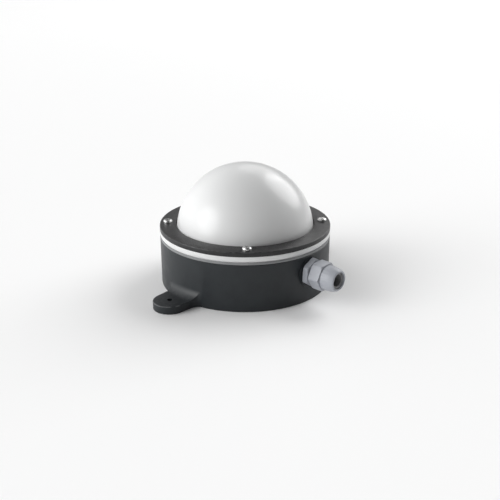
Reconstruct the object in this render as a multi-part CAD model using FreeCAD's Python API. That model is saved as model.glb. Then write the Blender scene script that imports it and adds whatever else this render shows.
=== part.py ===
import FreeCAD, Part
import math
import os

from FreeCAD import Vector

# Radar dome antenna: a small rotating antenna under a sealed dome, on a round cast base with two ears.
# Millimetres, +Z up. The origin is on the underside of the base, on the axis of the body. The ears lie
# along X, the cable gland points along -Y, and the screws of the clamp ring stand on the diagonals.

# ---------------------------------------------------------------- driving dimensions
# Cast base housing
body_radius = 75.0
base_height = 41.5
wall_thickness = 6.0
floor_thickness = 4.0
rim_edge_chamfer = 0.4
land_width = 13.0
land_depth = 5.0
boss_radius = 5.8

# Mounting ears, one piece with the base
ear_reach = 15.0
ear_end_radius = 14.0
ear_thickness = 7.0
ear_flare = 1.0
ear_root_fillet = 8.0
ear_hole_radius = 2.25
ear_directions = (0, 180)

# Gasket, dome and clamp ring, stacked on the rim
gasket_thickness = 2.2
dome_inset = 14.5
dome_wall = 3.0
flange_proud = 0.0
flange_rebate = 0.8
flange_thickness = 4.0
ring_proud = 0.0
ring_thickness = 4.0
ring_to_dome_gap = 0.5
ring_edge_round = 0.6

# Clamp screws, M4 pan heads in through holes
clamp_screw_size = 4.0
clamp_screw_inset = 7.0
clamp_screw_length = 20.0
clamp_hole_gap = 0.3
tapped_hole_gap = 0.05
tapped_hole_spare = 2.0
through_hole_gap = 0.1
screw_directions = (45, 135, 225, 315)

# Cable gland, M16, with 22 mm hexagons
gland_drop = 15.0
gland_thread_radius = 8.0
gland_hex_across = 22.0
gland_hex_length = 5.0
gland_hex_turn = 26.0
hex_corner_trim = 0.25
hex_end_trim = 0.2
gland_pad_proud = 0.3
gland_pad_radius = 13.2
gland_inner_pad = 1.7
gland_thread_spare = 0.5
gland_washer_thickness = 0.7
gland_washer_radius = 11.0
gland_hole_gap = 0.15
gland_bore_radius = 5.6
locknut_thickness = 5.0
nut_thread_radius = 8.9
nut_thread_length = 9.0
nut_running_gap = 0.08
nut_groove = 1.5
nut_hex_length = 10.0
nut_length = 22.5
nut_end_radius = 8.4
nut_hex_turn = 2.0
nut_shoulder = 0.5
nut_dome_height = 4.5
nut_end_slope = 2.6
nut_end_flare = 1.3
nut_lip = 0.5
claw_length = 5.0
claw_radius = 8.2
claw_wall = 1.2
claw_slots = 8
claw_slot_width = 0.8
claw_root = 0.5
seal_gap = 0.3
seal_bore_radius = 5.0
seal_length = 19.4
seal_seat_depth = 6.0
mouth_radius = 7.1

# Main board, on standoffs over the floor
board_thickness = 1.6
board_standoff_height = 4.0
board_standoff_radius = 3.0
board_screw_inset = 6.0
board_to_pillar_gap = 2.5
small_screw_size = 3.0
fine_screw_size = 2.5

# Deck that carries the scanner
deck_drop = 10.0
deck_thickness = 2.5
deck_to_land_gap = 5.0
pillar_radius = 3.5
pillar_inset = 5.0
stud_depth = 3.0
screw_end_gap = 0.2
pillar_tap_depth = 6.0
pillar_web = 0.8

# Bearings, 10 x 22 x 6 mm, in their housing
bearing_bore_radius = 5.0
bearing_outer_radius = 11.0
bearing_width = 6.0
bearing_race_gap = 2.2
ball_radius = 1.5875
ball_groove_gap = 0.04
ball_count = 13
housing_wall = 3.0
housing_web = 2.0
housing_recess = 0.5
housing_flange_width = 6.0
housing_flange_thickness = 3.0
housing_stand = 3.0

# Spindle and slip ring
spindle_bore_radius = 3.0
spindle_shoulder_radius = 6.5
spindle_flange_radius = 13.0
spindle_flange_thickness = 3.0
spindle_floor_gap = 1.4
clip_thickness = 1.2
clip_radius = 7.0
clip_groove_depth = 0.5
clip_opening = 3.0
slip_ring_radius = 8.0
slip_ring_clip_gap = 0.6
slip_track_height = 0.5
slip_track_count = 4
brush_gap = 0.1

# Gear pair
gear_module = 0.8
pinion_teeth = 15
gear_width = 4.0
gear_lift = 3.5
pinion_overlap = 0.5
tooth_backlash = 0.12
pressure_angle = 20.0

# Drive motor, hung under the deck
motor_radius = 12.0
motor_edge_gap = 3.0
motor_board_gap = 5.4
motor_wall = 1.0
motor_cap = 2.0
motor_boss_radius = 4.0
motor_boss_proud = 0.5
motor_shaft_radius = 1.5
motor_air_gap = 0.4
motor_stator_thickness = 3.0

# Turntable and antenna
turntable_thickness = 2.0
turntable_gap = 5.5
antenna_dome_gap = 3.2
panel_corner_angle = 49.5
panel_lift = 3.0
panel_plate_thickness = 2.0
panel_board_thickness = 1.6
patch_width = 5.0
patch_height = 4.0
patch_pitch = 8.0
patch_thickness = 0.2
patch_screw_gap = 6.2
bracket_thickness = 2.0
bracket_width = 40.0
bracket_foot = 20.0
bracket_head_gap = 0.4
bracket_below_top = 6.0
transceiver_gap = 3.0
shield_depth = 5.4
shield_wall = 0.5
shield_inset = 5.0
magnet_radius = 2.0
magnet_edge = 2.0
magnet_depth = 1.2
magnet_air_gap = 0.8
sensor_post = 4.0
sensor_foot_width = 6.0
sensor_foot_length = 8.0
sensor_foot_height = 1.0

# ---------------------------------------------------------------- sizes that follow
cavity_radius = body_radius - wall_thickness
land_inner_radius = body_radius - land_width
land_underside = base_height - land_depth
ear_hole_distance = body_radius + ear_reach
screw_circle_radius = body_radius - clamp_screw_inset
clamp_hole_radius = clamp_screw_size / 2 + clamp_hole_gap

gasket_top = base_height + gasket_thickness
dome_centre = gasket_top + flange_rebate
dome_radius = body_radius - dome_inset
dome_inner_radius = dome_radius - dome_wall
flange_top = dome_centre + flange_thickness
ring_top = flange_top + ring_thickness

gland_height = base_height - gland_drop
pad_face = body_radius + gland_pad_proud
inner_pad_face = cavity_radius - gland_inner_pad
hex_start = pad_face + gland_washer_thickness
hex_end = hex_start + gland_hex_length
nut_start = hex_end + nut_groove
nut_end = nut_start + nut_length
gland_thread_end = inner_pad_face - locknut_thickness - gland_thread_spare
thread_end = hex_end + nut_thread_length
claw_end = thread_end + claw_length
seal_start = thread_end - seal_seat_depth

deck_underside = base_height - deck_drop
deck_top = deck_underside + deck_thickness
deck_radius = land_inner_radius - deck_to_land_gap
pillar_circle = deck_radius - pillar_inset
board_underside = floor_thickness + board_standoff_height
board_top = board_underside + board_thickness
board_radius = pillar_circle - pillar_radius - board_to_pillar_gap
board_screw_circle = board_radius - board_screw_inset

housing_top = deck_top + housing_stand
upper_bearing_bottom = housing_top - housing_recess - bearing_width
lower_bearing_bottom = upper_bearing_bottom - housing_web - bearing_width
housing_bottom = lower_bearing_bottom - housing_recess
housing_radius = bearing_outer_radius + housing_wall
housing_flange_radius = housing_radius + housing_flange_width
bearing_race_wall = (bearing_outer_radius - bearing_bore_radius - bearing_race_gap) / 2
spindle_bottom = board_top + spindle_floor_gap
slip_ring_top = lower_bearing_bottom - clip_thickness - slip_ring_clip_gap
ball_circle_radius = (bearing_bore_radius + bearing_outer_radius) / 2

gear_bottom = deck_top + gear_lift
gear_top = gear_bottom + gear_width
spindle_top = gear_top + spindle_flange_thickness
widest_centre_distance = deck_radius - motor_radius - motor_edge_gap
driven_teeth = int(round(2 * widest_centre_distance / gear_module)) - pinion_teeth
gear_centre_distance = gear_module * (driven_teeth + pinion_teeth) / 2
motor_bottom = board_top + motor_board_gap

turntable_top = spindle_top + turntable_thickness
turntable_radius = dome_inner_radius - turntable_gap
panel_corner_reach = dome_inner_radius - antenna_dome_gap
panel_top = dome_centre + panel_corner_reach * math.sin(math.radians(panel_corner_angle))
panel_half_width = panel_corner_reach * math.cos(math.radians(panel_corner_angle))
panel_bottom = turntable_top + panel_lift
magnet_distance = turntable_radius - magnet_radius - magnet_edge


# How far a cutting tool runs past the faces it cuts, and a fused shape into its neighbour
past = 1.0


# ---------------------------------------------------------------- shapes used throughout
def bar(radius, bottom, top, x=0.0, y=0.0):
    """An upright round bar."""
    return Part.makeCylinder(radius, top - bottom, Vector(x, y, bottom))


def tube(outer, inner, bottom, top, x=0.0, y=0.0):
    """An upright tube."""
    return bar(outer, bottom, top, x, y).cut(bar(inner, bottom - past, top + past, x, y))


def block(width, depth, bottom, top, x=0.0, y=0.0):
    """An upright block centred on a point."""
    return Part.makeBox(width, depth, top - bottom, Vector(x - width / 2, y - depth / 2, bottom))


def turned(outline):
    """A ring or disc turned about Z from a closed outline of (radius, height) points."""
    points = [Vector(radius, 0, height) for radius, height in outline]
    face = Part.Face(Part.makePolygon(points + points[:1]))
    return face.revolve(Vector(0, 0, 0), Vector(0, 0, 1), 360)


def at_angle(distance, degrees):
    """The x and y of a point at a distance from the axis."""
    return distance * math.cos(math.radians(degrees)), distance * math.sin(math.radians(degrees))


def spots(distance, directions):
    """Points on a circle, one in each direction."""
    return [at_angle(distance, degrees) for degrees in directions]


def hexagon(across, bottom, top, turn=0.0):
    """A hexagon bar, given its size across flats, turned about its own axis."""
    corner = across / math.sqrt(3)
    points = [Vector(*at_angle(corner, turn + 60 * k), bottom) for k in range(6)]
    return Part.Face(Part.makePolygon(points + points[:1])).extrude(Vector(0, 0, top - bottom))


def along_gland(shape):
    """Lays a shape turned about Z along the gland's axis; its heights are distances from the body's axis."""
    laid = shape.copy()
    laid.rotate(Vector(0, 0, 0), Vector(1, 0, 0), 90)
    laid.translate(Vector(0, 0, gland_height))
    return laid


def pan_screw(size, length, seat, x, y):
    """A pan-head screw with a cross recess, standing in its hole with its head on the seat."""
    head_radius = size
    head_height = 0.6 * size
    head = bar(head_radius, seat, seat + head_height, x, y)
    top_edge = [edge for edge in head.Edges if edge.BoundBox.ZMin > seat + head_height / 2]
    head = head.makeFillet(0.7 * head_height, top_edge)
    recess_length = 1.1 * size
    recess_width = 0.24 * size
    recess_floor = seat + 0.2 * size
    above = seat + 2 * head_height
    recess = block(recess_length, recess_width, recess_floor, above, x, y)
    recess = recess.fuse(block(recess_width, recess_length, recess_floor, above, x, y))
    shank = bar(size / 2, seat - length, seat, x, y)
    return head.cut(recess).fuse(shank).removeSplitter()


def cut_all(shape, tools):
    """Cuts every tool out of a shape."""
    for tool in tools:
        shape = shape.cut(tool)
    return shape


def fuse_all(shapes):
    """One solid from shapes that touch or overlap."""
    whole = shapes[0]
    for shape in shapes[1:]:
        whole = whole.fuse(shape)
    return whole.removeSplitter()


# ---------------------------------------------------------------- base housing
def ear():
    """One mounting ear along +X: a round end with flanks that widen slightly towards the wall."""
    root_centre = body_radius - ear_end_radius
    root_radius = ear_end_radius + ear_flare
    lean = math.asin(ear_flare / (ear_hole_distance - root_centre))
    sine = math.sin(lean)
    cosine = math.cos(lean)
    outer = Vector(ear_hole_distance + ear_end_radius * sine, ear_end_radius * cosine, 0)
    inner = Vector(root_centre + root_radius * sine, root_radius * cosine, 0)
    outer_low = Vector(outer.x, -outer.y, 0)
    inner_low = Vector(inner.x, -inner.y, 0)
    tip = Vector(ear_hole_distance + ear_end_radius, 0, 0)
    sides = [
        Part.LineSegment(inner, outer).toShape(),
        Part.Arc(outer, tip, outer_low).toShape(),
        Part.LineSegment(outer_low, inner_low).toShape(),
        Part.LineSegment(inner_low, inner).toShape(),
    ]
    return Part.Face(Part.Wire(sides)).extrude(Vector(0, 0, ear_thickness))


def on_wall(edge):
    """Whether an edge lies on the outside wall of the body."""
    low = edge.FirstParameter
    high = edge.LastParameter
    points = [edge.valueAt(low + (high - low) * share) for share in (0, 0.5, 1)]
    return all(abs(math.hypot(point.x, point.y) - body_radius) < 0.001 for point in points)


def eared_body():
    """The outside of the casting: a round body, two ears and the fillets between them."""
    body = bar(body_radius, 0, base_height)
    for direction in ear_directions:
        side = ear()
        side.rotate(Vector(0, 0, 0), Vector(0, 0, 1), direction)
        body = body.fuse(side)
    body = body.removeSplitter()
    roots = []
    for edge in body.Edges:
        box = edge.BoundBox
        if on_wall(edge) and box.ZMax < ear_thickness + 0.01 and box.ZMax > 0.01:
            roots.append(edge)
    return body.makeFillet(ear_root_fillet, roots)


def base_housing():
    """The cast base: cavity, rim land, screw bosses, gland pads and every hole."""
    body = eared_body()
    rim = [
        (body_radius - rim_edge_chamfer, base_height),
        (body_radius + past, base_height - rim_edge_chamfer - past),
        (body_radius + past, base_height),
    ]
    body = body.cut(turned(rim))
    slope = cavity_radius - land_inner_radius
    cavity = turned([
        (0, floor_thickness),
        (cavity_radius, floor_thickness),
        (cavity_radius, land_underside - slope),
        (land_inner_radius, land_underside),
        (land_inner_radius, base_height + past),
        (0, base_height + past),
    ])
    pad_start = cavity_radius - wall_thickness
    pad = along_gland(bar(gland_pad_radius, pad_start, pad_face))
    bosses = [bar(boss_radius, 1, land_underside, x, y)
              for x, y in spots(screw_circle_radius, screw_directions)]
    body = body.cut(cavity)
    body = fuse_all([body, pad] + bosses)
    hole_start = cavity_radius - 2 * wall_thickness
    clear_inside = along_gland(bar(gland_pad_radius, hole_start, inner_pad_face))
    gland_hole = along_gland(bar(gland_thread_radius + gland_hole_gap, hole_start, pad_face + past))
    screw_hole_radius = clamp_screw_size / 2 + tapped_hole_gap
    screw_hole_bottom = ring_top - clamp_screw_length - tapped_hole_spare
    holes = [clear_inside, gland_hole]
    for x, y in spots(screw_circle_radius, screw_directions):
        holes.append(bar(screw_hole_radius, screw_hole_bottom, base_height + past, x, y))
    for x, y in spots(ear_hole_distance, ear_directions):
        holes.append(bar(ear_hole_radius, -past, ear_thickness + past, x, y))
    for distance, size in ((pillar_circle, small_screw_size), (board_screw_circle, fine_screw_size)):
        for x, y in spots(distance, screw_directions):
            radius = size / 2 + tapped_hole_gap
            holes.append(bar(radius, floor_thickness - stud_depth, floor_thickness + past, x, y))
    return cut_all(body, holes)


# ---------------------------------------------------------------- dome and its seal
def base_gasket():
    """The flat ring that seals the dome's flange on the rim."""
    ring = tube(body_radius, land_inner_radius, base_height, gasket_top)
    holes = [bar(clamp_hole_radius, base_height - past, gasket_top + past, x, y)
             for x, y in spots(screw_circle_radius, screw_directions)]
    return cut_all(ring, holes)


def dome():
    """A hemisphere shell with a flat flange, rebated under its edge."""
    flange_radius = body_radius + flange_proud
    flange = turned([
        (dome_inner_radius, gasket_top),
        (flange_radius - flange_rebate, gasket_top),
        (flange_radius - flange_rebate, dome_centre),
        (flange_radius, dome_centre),
        (flange_radius, flange_top),
        (dome_inner_radius, flange_top),
    ])
    centre = Vector(0, 0, dome_centre)
    upwards = Vector(0, 0, 1)
    outside = Part.makeSphere(dome_radius, centre, upwards, 0, 90, 360)
    inside = Part.makeSphere(dome_inner_radius, centre, upwards, -90, 90, 360)
    shell = outside.fuse(flange).cut(inside).removeSplitter()
    holes = [bar(clamp_hole_radius, gasket_top - past, flange_top + past, x, y)
             for x, y in spots(screw_circle_radius, screw_directions)]
    return cut_all(shell, holes)


def clamp_ring():
    """The flat metal ring that presses the flange down."""
    outer = body_radius + ring_proud
    inner = dome_radius + ring_to_dome_gap
    ring = tube(outer, inner, flange_top, ring_top)
    edges = [edge for edge in ring.Edges if edge.BoundBox.ZMin > ring_top - 0.1 and edge.Closed]
    ring = ring.makeFillet(ring_edge_round, edges)
    holes = [bar(clamp_hole_radius, flange_top - past, ring_top + past, x, y)
             for x, y in spots(screw_circle_radius, screw_directions)]
    return cut_all(ring, holes)


def clamp_screws():
    """Four pan-head screws through ring, flange and gasket into the bosses."""
    return [pan_screw(clamp_screw_size, clamp_screw_length, ring_top, x, y)
            for x, y in spots(screw_circle_radius, screw_directions)]


# ---------------------------------------------------------------- cable gland
def chamfered_hexagon(across, start, end, turn, start_chamfer, end_chamfer):
    """A hexagon whose corners are turned down at its ends, as on a gland."""
    corner = across / math.sqrt(3) - hex_corner_trim
    flat = across / 2 - hex_end_trim
    envelope = turned([
        (0, start),
        (corner - start_chamfer, start),
        (corner, start + start_chamfer),
        (corner, end - end_chamfer),
        (max(flat, corner - 2 * end_chamfer), end),
        (0, end),
    ])
    return hexagon(across, start, end, turn).common(envelope)


def gland_body():
    """Hexagon, wall thread, nut thread and the slotted claw, in one moulding."""
    hexagon_part = chamfered_hexagon(gland_hex_across, hex_start, hex_end, gland_hex_turn, 0.3, 0.6)
    core = turned([
        (gland_bore_radius, gland_thread_end),
        (gland_thread_radius, gland_thread_end),
        (gland_thread_radius, hex_start + past),
        (nut_thread_radius, hex_start + past),
        (nut_thread_radius, thread_end),
        (claw_radius, thread_end),
        (claw_radius, claw_end),
        (claw_radius - claw_wall, claw_end),
        (claw_radius - claw_wall, seal_start),
        (gland_bore_radius, seal_start),
    ])
    bore = bar(gland_bore_radius, hex_start - past, seal_start + past)
    seat = bar(claw_radius - claw_wall, seal_start, thread_end + past)
    body = fuse_all([hexagon_part.cut(bore).cut(seat), core])
    slots = []
    for k in range(claw_slots // 2):
        slot = block(claw_slot_width, 4 * claw_radius, thread_end + claw_root, claw_end + past)
        slot.rotate(Vector(0, 0, 0), Vector(0, 0, 1), 360 / claw_slots * k)
        slots.append(slot)
    return along_gland(cut_all(body, slots))


def gland_washer():
    """The flat seal between the hexagon and the pad on the wall."""
    return along_gland(tube(gland_washer_radius, gland_thread_radius + through_hole_gap, pad_face, hex_start))


def gland_locknut():
    """The nut inside the wall."""
    start = inner_pad_face - locknut_thickness
    nut = chamfered_hexagon(gland_hex_across, start, inner_pad_face, gland_hex_turn, 0.8, 0.3)
    hole = bar(gland_thread_radius + tapped_hole_gap, start - past, inner_pad_face + past)
    return along_gland(nut.cut(hole))


def gland_nut():
    """The compression nut: a hexagon, then a domed end around the mouth."""
    dome_start = nut_start + nut_hex_length
    hex_part = chamfered_hexagon(gland_hex_across, nut_start, dome_start, nut_hex_turn, 0.5, 0.4)
    shoulder = gland_hex_across / 2 - nut_shoulder
    domed = turned([
        (0, dome_start - past),
        (shoulder, dome_start - past),
        (shoulder, dome_start + nut_dome_height),
        (nut_end_radius + nut_end_flare, nut_end - nut_end_slope),
        (nut_end_radius, nut_end - nut_lip),
        (nut_end_radius - nut_lip, nut_end),
        (0, nut_end),
    ])
    bore = nut_thread_radius + nut_running_gap
    hollow = turned([
        (0, nut_start - past),
        (bore, nut_start - past),
        (bore, claw_end - 1.5),
        (claw_radius + seal_gap, claw_end + seal_gap),
        (mouth_radius, claw_end + seal_gap + 1.5),
        (mouth_radius, nut_end + past),
        (0, nut_end + past),
    ])
    return along_gland(fuse_all([hex_part, domed]).cut(hollow))


def gland_seal():
    """The rubber sleeve that closes on the cable, standing a little clear of the claw."""
    outer = claw_radius - claw_wall - seal_gap
    start = seal_start + seal_gap
    return along_gland(tube(outer, seal_bore_radius, start, start + seal_length))


# ---------------------------------------------------------------- main board
def main_board():
    """A round board with four screw holes."""
    board = bar(board_radius, board_underside, board_top)
    holes = [bar(fine_screw_size / 2 + through_hole_gap, board_underside - past, board_top + past, x, y)
             for x, y in spots(board_screw_circle, screw_directions)]
    return cut_all(board, holes)


def studded_pillar(radius, bottom, top, screw_size, x, y):
    """A round pillar with a stud into the floor and a tapped hole from above."""
    stud = bar(screw_size / 2, bottom - stud_depth + screw_end_gap, bottom, x, y)
    pillar = bar(radius, bottom, top, x, y).fuse(stud)
    depth = min(pillar_tap_depth, top - bottom - pillar_web)
    return pillar.cut(bar(screw_size / 2 + tapped_hole_gap, top - depth, top + past, x, y)).removeSplitter()


def board_standoffs():
    """Four short pillars under the board."""
    return [studded_pillar(board_standoff_radius, floor_thickness, board_underside, fine_screw_size, x, y)
            for x, y in spots(board_screw_circle, screw_directions)]


def board_screws():
    """Four screws that hold the board down."""
    length = board_thickness + board_standoff_height - pillar_web - 2 * screw_end_gap
    return [pan_screw(fine_screw_size, length, board_top, x, y)
            for x, y in spots(board_screw_circle, screw_directions)]


terminal_ways = 5
terminal_pitch = 5.0
terminal_depth = 9.0
terminal_height = 10.0
terminal_wire_hole = 1.2
terminal_wire_height = 4.0
terminal_edge_gap = 3.0
terminal_screw_radius = 1.5
terminal_screw_length = 2.4
terminal_screw_sink = 0.6
terminal_slot_width = 0.5
terminal_slot_depth = 0.7
terminal_y = -(board_radius - terminal_depth / 2 - terminal_edge_gap)


def terminal_places():
    """The x of each way of the terminal block."""
    return [terminal_pitch * (k - (terminal_ways - 1) / 2) for k in range(terminal_ways)]


def terminal_block():
    """The block that takes the cable's cores, open towards the gland."""
    width = terminal_pitch * terminal_ways
    body = block(width, terminal_depth, board_top, board_top + terminal_height, 0, terminal_y)
    tools = []
    top = board_top + terminal_height
    well = top - terminal_screw_sink - terminal_screw_length
    mouth_depth = terminal_depth / 2 - 2.0
    for x in terminal_places():
        tools.append(bar(terminal_screw_radius + through_hole_gap, well, top + past, x, terminal_y))
        mouth = Vector(x, terminal_y - terminal_depth / 2, board_top + terminal_wire_height)
        tools.append(Part.makeCylinder(terminal_wire_hole, mouth_depth, mouth, Vector(0, 1, 0)))
    return cut_all(body, tools)


def terminal_screws():
    """The clamping screws, one for each way."""
    head = board_top + terminal_height - terminal_screw_sink
    screws = []
    for x in terminal_places():
        screw = bar(terminal_screw_radius, head - terminal_screw_length, head, x, terminal_y)
        slot = block(4 * terminal_screw_radius, terminal_slot_width, head - terminal_slot_depth, head + past,
                     x, terminal_y)
        screws.append(screw.cut(slot))
    return screws


chip_inset = 19.0
chip_width = 14.0
chip_height = 1.4
capacitor_inset = 16.0
capacitor_directions = (212, 238)
capacitor_radius = 3.8
capacitor_height = 11.0
inductor_inset = 17.0
inductor_direction = 318
inductor_width = 8.0
inductor_height = 4.5
inductor_well_radius = 2.4


def processor_chip():
    """The signal processor."""
    x, y = at_angle(board_radius - chip_inset, 0)
    return block(chip_width, chip_width, board_top, board_top + chip_height, x, y)


def power_capacitors():
    """Two upright cans of the power supply."""
    places = spots(board_radius - capacitor_inset, capacitor_directions)
    return [bar(capacitor_radius, board_top, board_top + capacitor_height, x, y) for x, y in places]


def power_inductor():
    """The choke of the power supply."""
    x, y = at_angle(board_radius - inductor_inset, inductor_direction)
    top = board_top + inductor_height
    body = block(inductor_width, inductor_width, board_top, top, x, y)
    return body.cut(bar(inductor_well_radius, top - past, top + past, x, y))


# ---------------------------------------------------------------- deck
def deck():
    """The plate over the board that carries motor, bearings and sensor."""
    plate = bar(deck_radius, deck_underside, deck_top)
    wanted = [(housing_radius, 0, 0), (motor_boss_radius, 0, gear_centre_distance)]
    wanted += [(small_screw_size / 2, x, y) for x, y in spots(pillar_circle, screw_directions)]
    wanted += [(fine_screw_size / 2, x, y) for x, y in housing_screw_places() + motor_screw_places()]
    holes = [bar(radius + through_hole_gap, deck_underside - past, deck_top + past, x, y)
             for radius, x, y in wanted]
    return cut_all(plate, holes)


def deck_pillars():
    """Four pillars from the floor to the deck."""
    return [studded_pillar(pillar_radius, floor_thickness, deck_underside, small_screw_size, x, y)
            for x, y in spots(pillar_circle, screw_directions)]


def deck_screws():
    """Four screws through the deck into the pillars."""
    return [pan_screw(small_screw_size, deck_thickness + pillar_tap_depth - 1.5, deck_top, x, y)
            for x, y in spots(pillar_circle, screw_directions)]


# ---------------------------------------------------------------- bearings and spindle
def housing_screw_places():
    """Three screws through the deck into the bearing housing's flange."""
    return spots((housing_radius + housing_flange_radius) / 2, (30, 150, 270))


def bearing_housing():
    """A flanged barrel with a pocket for a bearing at each end."""
    bearing_pocket = bearing_outer_radius
    barrel = turned([
        (bearing_pocket, housing_bottom),
        (housing_radius, housing_bottom),
        (housing_radius, deck_underside - housing_flange_thickness),
        (housing_flange_radius, deck_underside - housing_flange_thickness),
        (housing_flange_radius, deck_underside),
        (housing_radius, deck_underside),
        (housing_radius, housing_top),
        (bearing_pocket, housing_top),
        (bearing_pocket, upper_bearing_bottom),
        (bearing_pocket - 1.5, upper_bearing_bottom),
        (bearing_pocket - 1.5, upper_bearing_bottom - housing_web),
        (bearing_pocket, upper_bearing_bottom - housing_web),
    ])
    holes = [bar(fine_screw_size / 2 + tapped_hole_gap, deck_underside - housing_flange_thickness - past,
                 deck_underside + past, x, y) for x, y in housing_screw_places()]
    return cut_all(barrel, holes)


def housing_screws():
    """The bearing housing's screws."""
    return [pan_screw(fine_screw_size, deck_thickness + housing_flange_thickness - 0.5, deck_top, x, y)
            for x, y in housing_screw_places()]


def ball_groove(bottom):
    """The ring that the balls run in, cut from both races."""
    middle = Vector(0, 0, bottom + bearing_width / 2)
    return Part.makeTorus(ball_circle_radius, ball_radius + ball_groove_gap, middle)


def outer_race(bottom):
    """The race that sits in the housing."""
    inner = bearing_outer_radius - bearing_race_wall
    return tube(bearing_outer_radius, inner, bottom, bottom + bearing_width).cut(ball_groove(bottom))


def inner_race(bottom):
    """The race that sits on the spindle."""
    outer = bearing_bore_radius + bearing_race_wall
    return tube(outer, bearing_bore_radius, bottom, bottom + bearing_width).cut(ball_groove(bottom))


def balls(bottom):
    """A full row of balls."""
    directions = [360 / ball_count * k for k in range(ball_count)]
    return [Part.makeSphere(ball_radius, Vector(x, y, bottom + bearing_width / 2))
            for x, y in spots(ball_circle_radius, directions)]


def spindle():
    """The hollow shaft: shoulder over the upper bearing, flange under the turntable."""
    shaft = turned([
        (spindle_bore_radius, spindle_bottom),
        (bearing_bore_radius, spindle_bottom),
        (bearing_bore_radius, upper_bearing_bottom + bearing_width),
        (spindle_shoulder_radius, upper_bearing_bottom + bearing_width),
        (spindle_shoulder_radius, gear_top),
        (spindle_flange_radius, gear_top),
        (spindle_flange_radius, spindle_top),
        (spindle_bore_radius, spindle_top),
    ])
    clip_top = lower_bearing_bottom
    groove_floor = bearing_bore_radius - clip_groove_depth
    groove = tube(bearing_bore_radius + past, groove_floor, clip_top - clip_thickness, clip_top)
    return cut_all(shaft, [groove] + turntable_screw_holes())


def spindle_clip():
    """The open ring that keeps the spindle up in its bearings."""
    top = lower_bearing_bottom
    bottom = top - clip_thickness
    ring = tube(clip_radius, bearing_bore_radius - clip_groove_depth, bottom, top)
    return ring.cut(block(2 * clip_radius, clip_opening, bottom - past, top + past, clip_radius, 0))


def slip_ring():
    """The insulating sleeve at the foot of the spindle."""
    return tube(slip_ring_radius, bearing_bore_radius, spindle_bottom, slip_ring_top)


def slip_track_heights():
    """The bottom and top of each contact track."""
    pitch = (slip_ring_top - spindle_bottom) / slip_track_count
    return [(spindle_bottom + pitch * (k + 0.2), spindle_bottom + pitch * (k + 0.8))
            for k in range(slip_track_count)]


def slip_ring_tracks():
    """The contact tracks round the sleeve."""
    outer = slip_ring_radius + slip_track_height
    return [tube(outer, slip_ring_radius, bottom, top) for bottom, top in slip_track_heights()]


brush_block_gap = 2.0
brush_block_width = 8.0
brush_block_depth = 8.0
brush_width = 3.0


def brush_block():
    """The block on the board that holds the brushes."""
    near = slip_ring_radius + slip_track_height + brush_block_gap
    middle = -(near + brush_block_width / 2)
    return block(brush_block_width, brush_block_depth, board_top, slip_ring_top, middle, 0)


def slip_ring_brushes():
    """Leaf brushes, one against each track."""
    tip = slip_ring_radius + slip_track_height + brush_gap
    length = brush_block_gap - brush_gap
    brushes = []
    for bottom, top in slip_track_heights():
        middle = (bottom + top) / 2
        reach = (top - bottom) / 4
        brushes.append(block(length, brush_width, middle - reach, middle + reach, -(tip + length / 2), 0))
    return brushes


# ---------------------------------------------------------------- gear pair
def involute(base, radius):
    """The polar angle, in radians, that an involute from its base circle has swept at a radius."""
    ratio = math.sqrt(max(0.0, (radius / base) ** 2 - 1))
    return ratio - math.atan(ratio)


def spur_gear(teeth, bottom, top, first_tooth, x=0.0, y=0.0):
    """A spur gear with involute flanks, one tooth pointing at first_tooth degrees."""
    pitch = gear_module * teeth / 2
    base = pitch * math.cos(math.radians(pressure_angle))
    tip = pitch + gear_module
    root = pitch - 1.25 * gear_module
    half_tooth = math.pi / (2 * teeth) - tooth_backlash / (2 * pitch) + involute(base, pitch)
    start = max(root, base)
    flank_points = 4
    flank = []
    for k in range(flank_points):
        radius = start + (tip - start) * k / (flank_points - 1)
        flank.append((radius, half_tooth - involute(base, radius)))
    if root < start:
        flank.insert(0, (root, flank[0][1]))
    points = []
    for tooth in range(teeth):
        middle = math.radians(first_tooth) + 2 * math.pi * tooth / teeth
        for radius, half in flank:
            points.append((radius, middle - half))
        for radius, half in reversed(flank):
            points.append((radius, middle + half))
    corners = [Vector(x + radius * math.cos(angle), y + radius * math.sin(angle), bottom)
               for radius, angle in points]
    outline = Part.Face(Part.makePolygon(corners + corners[:1]))
    return outline.extrude(Vector(0, 0, top - bottom))


def driven_gear():
    """The large gear under the turntable, lightened by round holes."""
    gear = spur_gear(driven_teeth, gear_bottom, gear_top, 90)
    root = gear_module * (driven_teeth / 2 - 1.25)
    web_middle = (spindle_flange_radius + root) / 2
    hole_radius = (root - spindle_flange_radius) / 2 - 3.0
    holes = [bar(spindle_shoulder_radius, gear_bottom - past, gear_top + past)]
    holes += [bar(hole_radius, gear_bottom - past, gear_top + past, x, y)
              for x, y in spots(web_middle, (30, 90, 150, 210, 270, 330))]
    return cut_all(gear, holes + turntable_screw_holes())


def pinion():
    """The motor's gear, with a gap turned towards the large gear."""
    half_pitch = 180 / pinion_teeth
    bottom = gear_bottom - pinion_overlap
    top = gear_top + pinion_overlap
    gear = spur_gear(pinion_teeth, bottom, top, -90 + half_pitch, 0, gear_centre_distance)
    return gear.cut(bar(motor_shaft_radius, gear_bottom - 2, gear_top + 2, 0, gear_centre_distance))


# ---------------------------------------------------------------- drive motor
motor_cap_bottom = deck_underside - motor_cap
motor_floor_top = motor_bottom + motor_wall
motor_bush_gap = 0.05
motor_bush_wall = 1.0


def motor_screw_places():
    """Two screws through the deck into the motor's cap."""
    return [(offset, gear_centre_distance) for offset in (-8.0, 8.0)]


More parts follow.
